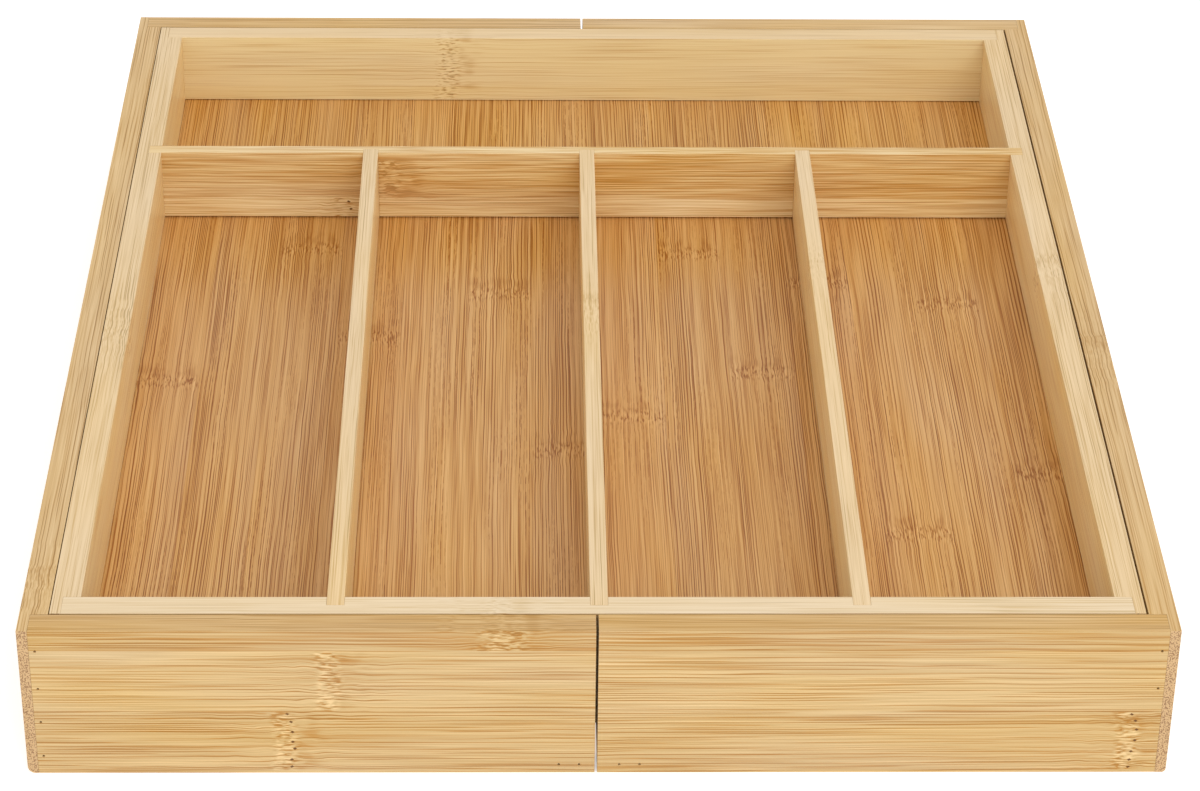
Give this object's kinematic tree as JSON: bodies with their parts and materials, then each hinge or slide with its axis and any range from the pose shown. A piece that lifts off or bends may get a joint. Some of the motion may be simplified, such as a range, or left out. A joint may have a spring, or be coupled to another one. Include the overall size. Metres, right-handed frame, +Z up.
{
  "type": "expandable drawer tray",
  "caption": "Low bamboo cutlery tray for a drawer: a divided inner tray between two outer half trays that slide out to the left and right to fill the drawer.",
  "frame": {"origin": "on the floor under the middle of the closed tray's outer box", "axes": "+Z up, +X to the right when looking from the front, +Y from the front to the back"},
  "size_m": [0.33, 0.39, 0.0505],
  "materials": {
    "pale_bamboo": "satin lacquered bamboo, pale, fine straight grain",
    "natural_bamboo": "satin lacquered bamboo, golden, with nodes",
    "caramel_bamboo": "satin lacquered steamed bamboo, caramel, dense streaks",
    "brad_steel": "dull steel wire"
  },
  "bodies": {
    "main_tray": {"inner_front_wall": "pale_bamboo", "inner_back_wall": "pale_bamboo", "inner_left_wall": "pale_bamboo", "inner_right_wall": "pale_bamboo", "cross_divider": "natural_bamboo", "long_divider_left": "pale_bamboo", "long_divider_middle": "pale_bamboo", "long_divider_right": "pale_bamboo", "inner_base_panel": "caramel_bamboo", "inner_corner_brads": "brad_steel"},
    "left_tray": {"left_side_rail": "natural_bamboo", "left_front_panel": "natural_bamboo", "left_back_panel": "natural_bamboo", "left_base_panel": "caramel_bamboo", "left_stretcher": "natural_bamboo", "left_front_guide": "natural_bamboo", "left_back_guide": "natural_bamboo", "left_corner_brads": "brad_steel", "left_stretcher_brads": "brad_steel"},
    "right_tray": {"right_side_rail": "natural_bamboo", "right_front_panel": "natural_bamboo", "right_back_panel": "natural_bamboo", "right_base_panel": "caramel_bamboo", "right_stretcher": "natural_bamboo", "right_front_guide": "natural_bamboo", "right_back_guide": "natural_bamboo", "right_corner_brads": "brad_steel", "right_stretcher_brads": "brad_steel"}
  },
  "joints": [
    {"name": "left_slide", "type": "slide", "parent": "main_tray", "child": "left_tray", "axis": [-1, 0, 0], "range_m": [0, 0.082]},
    {"name": "right_slide", "type": "slide", "parent": "main_tray", "child": "right_tray", "axis": [1, 0, 0], "range_m": [0, 0.082]}
  ]
}
